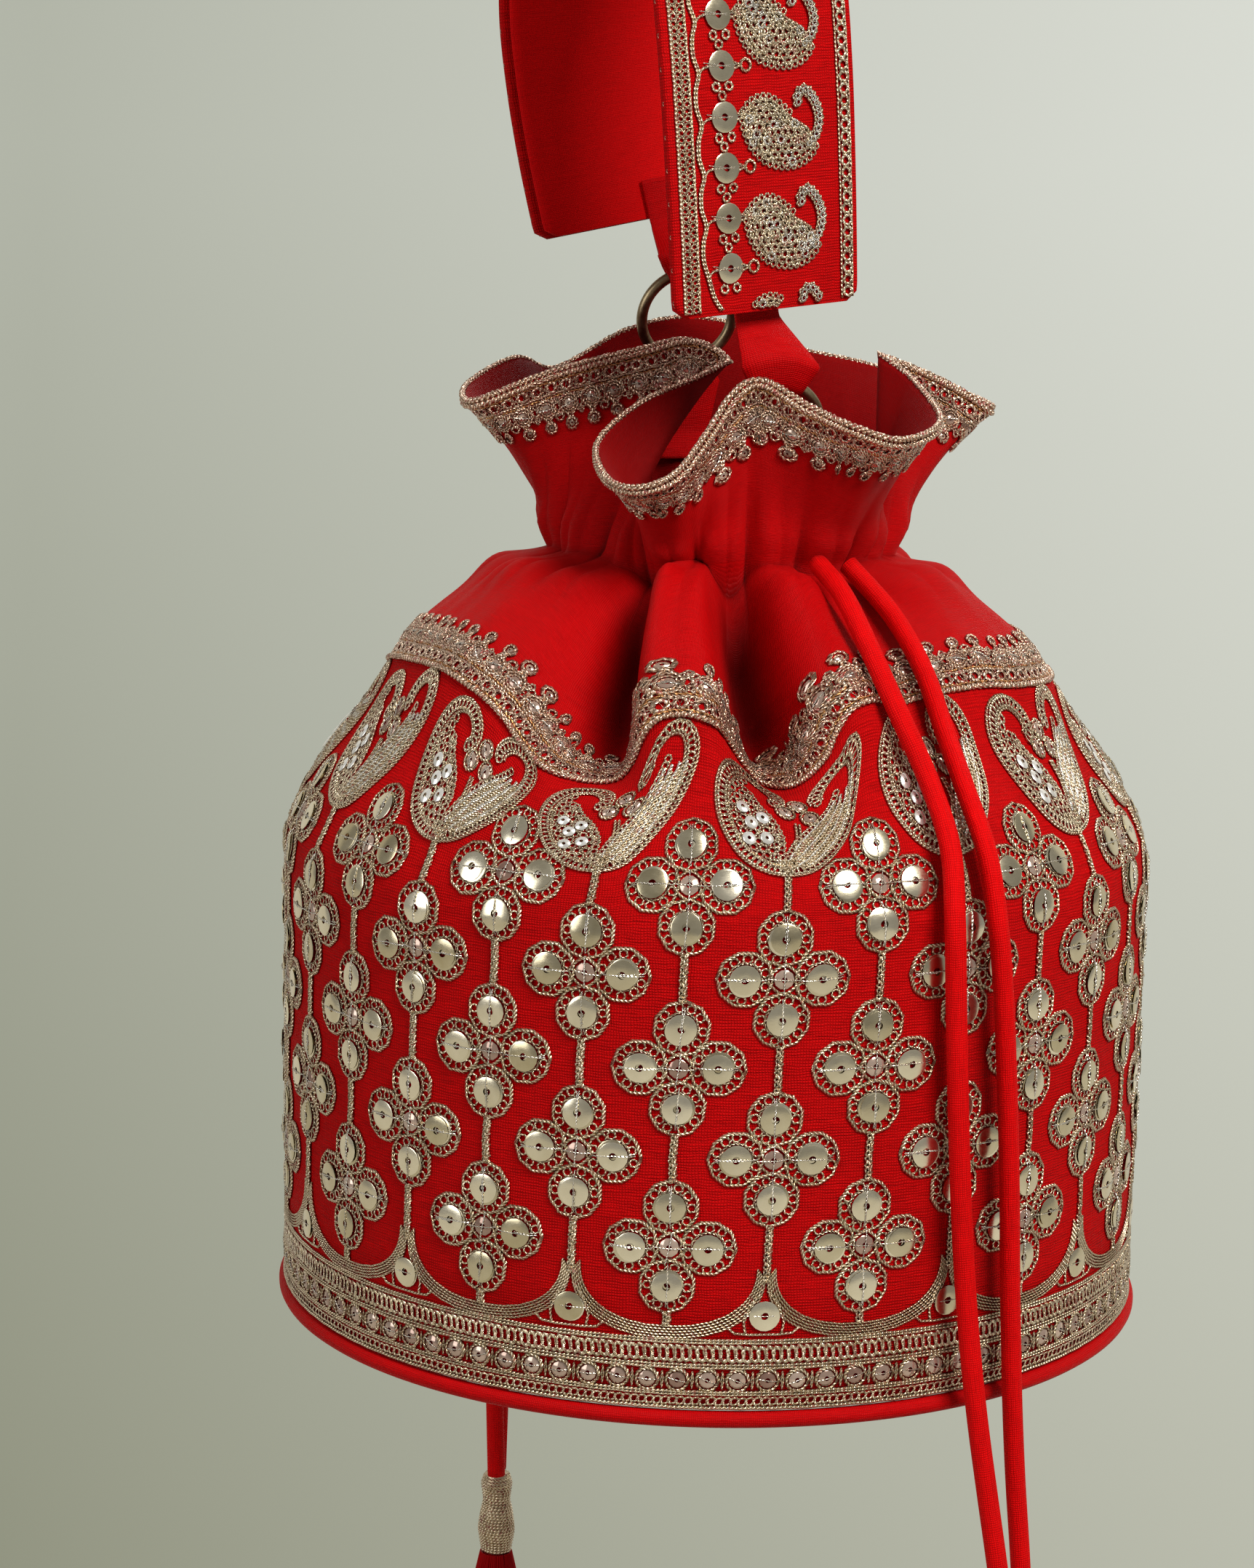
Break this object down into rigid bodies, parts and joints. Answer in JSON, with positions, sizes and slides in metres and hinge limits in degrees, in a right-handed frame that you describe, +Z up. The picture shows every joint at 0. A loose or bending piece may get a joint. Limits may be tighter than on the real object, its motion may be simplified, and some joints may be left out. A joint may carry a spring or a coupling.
{
  "type": "potli bag",
  "caption": "Round silk drawstring pouch with gathered neck, ruffled mouth and gold thread flowers, hung by rings from a wide hand strap.",
  "frame": {"origin": "the top of the hand strap, where a hand or hook carries the bag", "axes": "+Z up along the hanging bag, -Y towards the side where the embroidered leg of the strap and one pair of drawstrings hang"},
  "size_m": [0.2046, 0.2046, 0.5207],
  "materials": {
    "raw_silk_red": "coarse raw silk, matt",
    "silk_red": "smooth silk, soft sheen",
    "gold_thread": "metallic thread work with sequins",
    "rose_gold_thread": "metallic lace of rose and gold thread",
    "antique_brass": "antique, lightly worn",
    "stiffener_board": "plain"
  },
  "bodies": {
    "strap": {"strap_band": "raw_silk_red", "strap_lining": "silk_red", "strap_braid_left": "gold_thread", "strap_braid_right": "gold_thread", "strap_tab_near": "silk_red", "strap_tab_far": "silk_red"},
    "bag": {"body_panel": "raw_silk_red", "yoke": "silk_red", "base_panel": "raw_silk_red", "base_board": "stiffener_board", "base_piping": "silk_red", "zari_embroidery": "gold_thread", "seam_lace": "rose_gold_thread", "mouth_lace": "rose_gold_thread", "ring_tab_near": "silk_red", "ring_tab_far": "silk_red", "drawcord_in_neck": "silk_red", "drawstring_right_a": "silk_red", "drawstring_right_b": "silk_red", "drawstring_left_a": "silk_red", "drawstring_left_b": "silk_red", "tassel_cap_right": "gold_thread", "tassel_cap_left": "gold_thread", "tassel_skirt_right": "silk_red", "tassel_skirt_left": "silk_red"},
    "ring_near": {"ring_near": "antique_brass"},
    "ring_far": {"ring_far": "antique_brass"}
  },
  "joints": [
    {"name": "bag_swing", "type": "hinge", "parent": "strap", "child": "bag", "pos_m": [0.02683, -0.03106, -0.16164], "axis": [-0.2821, 0.912, 0.2978], "range_deg": [-15, 15]},
    {"name": "ring_near_spin", "type": "hinge", "parent": "bag", "child": "ring_near", "pos_m": [0.02683, -0.03106, -0.16164], "axis": [-0.2821, 0.912, 0.2978], "continuous": true},
    {"name": "ring_far_spin", "type": "hinge", "parent": "bag", "child": "ring_far", "pos_m": [0.00703, 0.03294, -0.14074], "axis": [-0.2821, 0.912, 0.2978], "continuous": true}
  ]
}
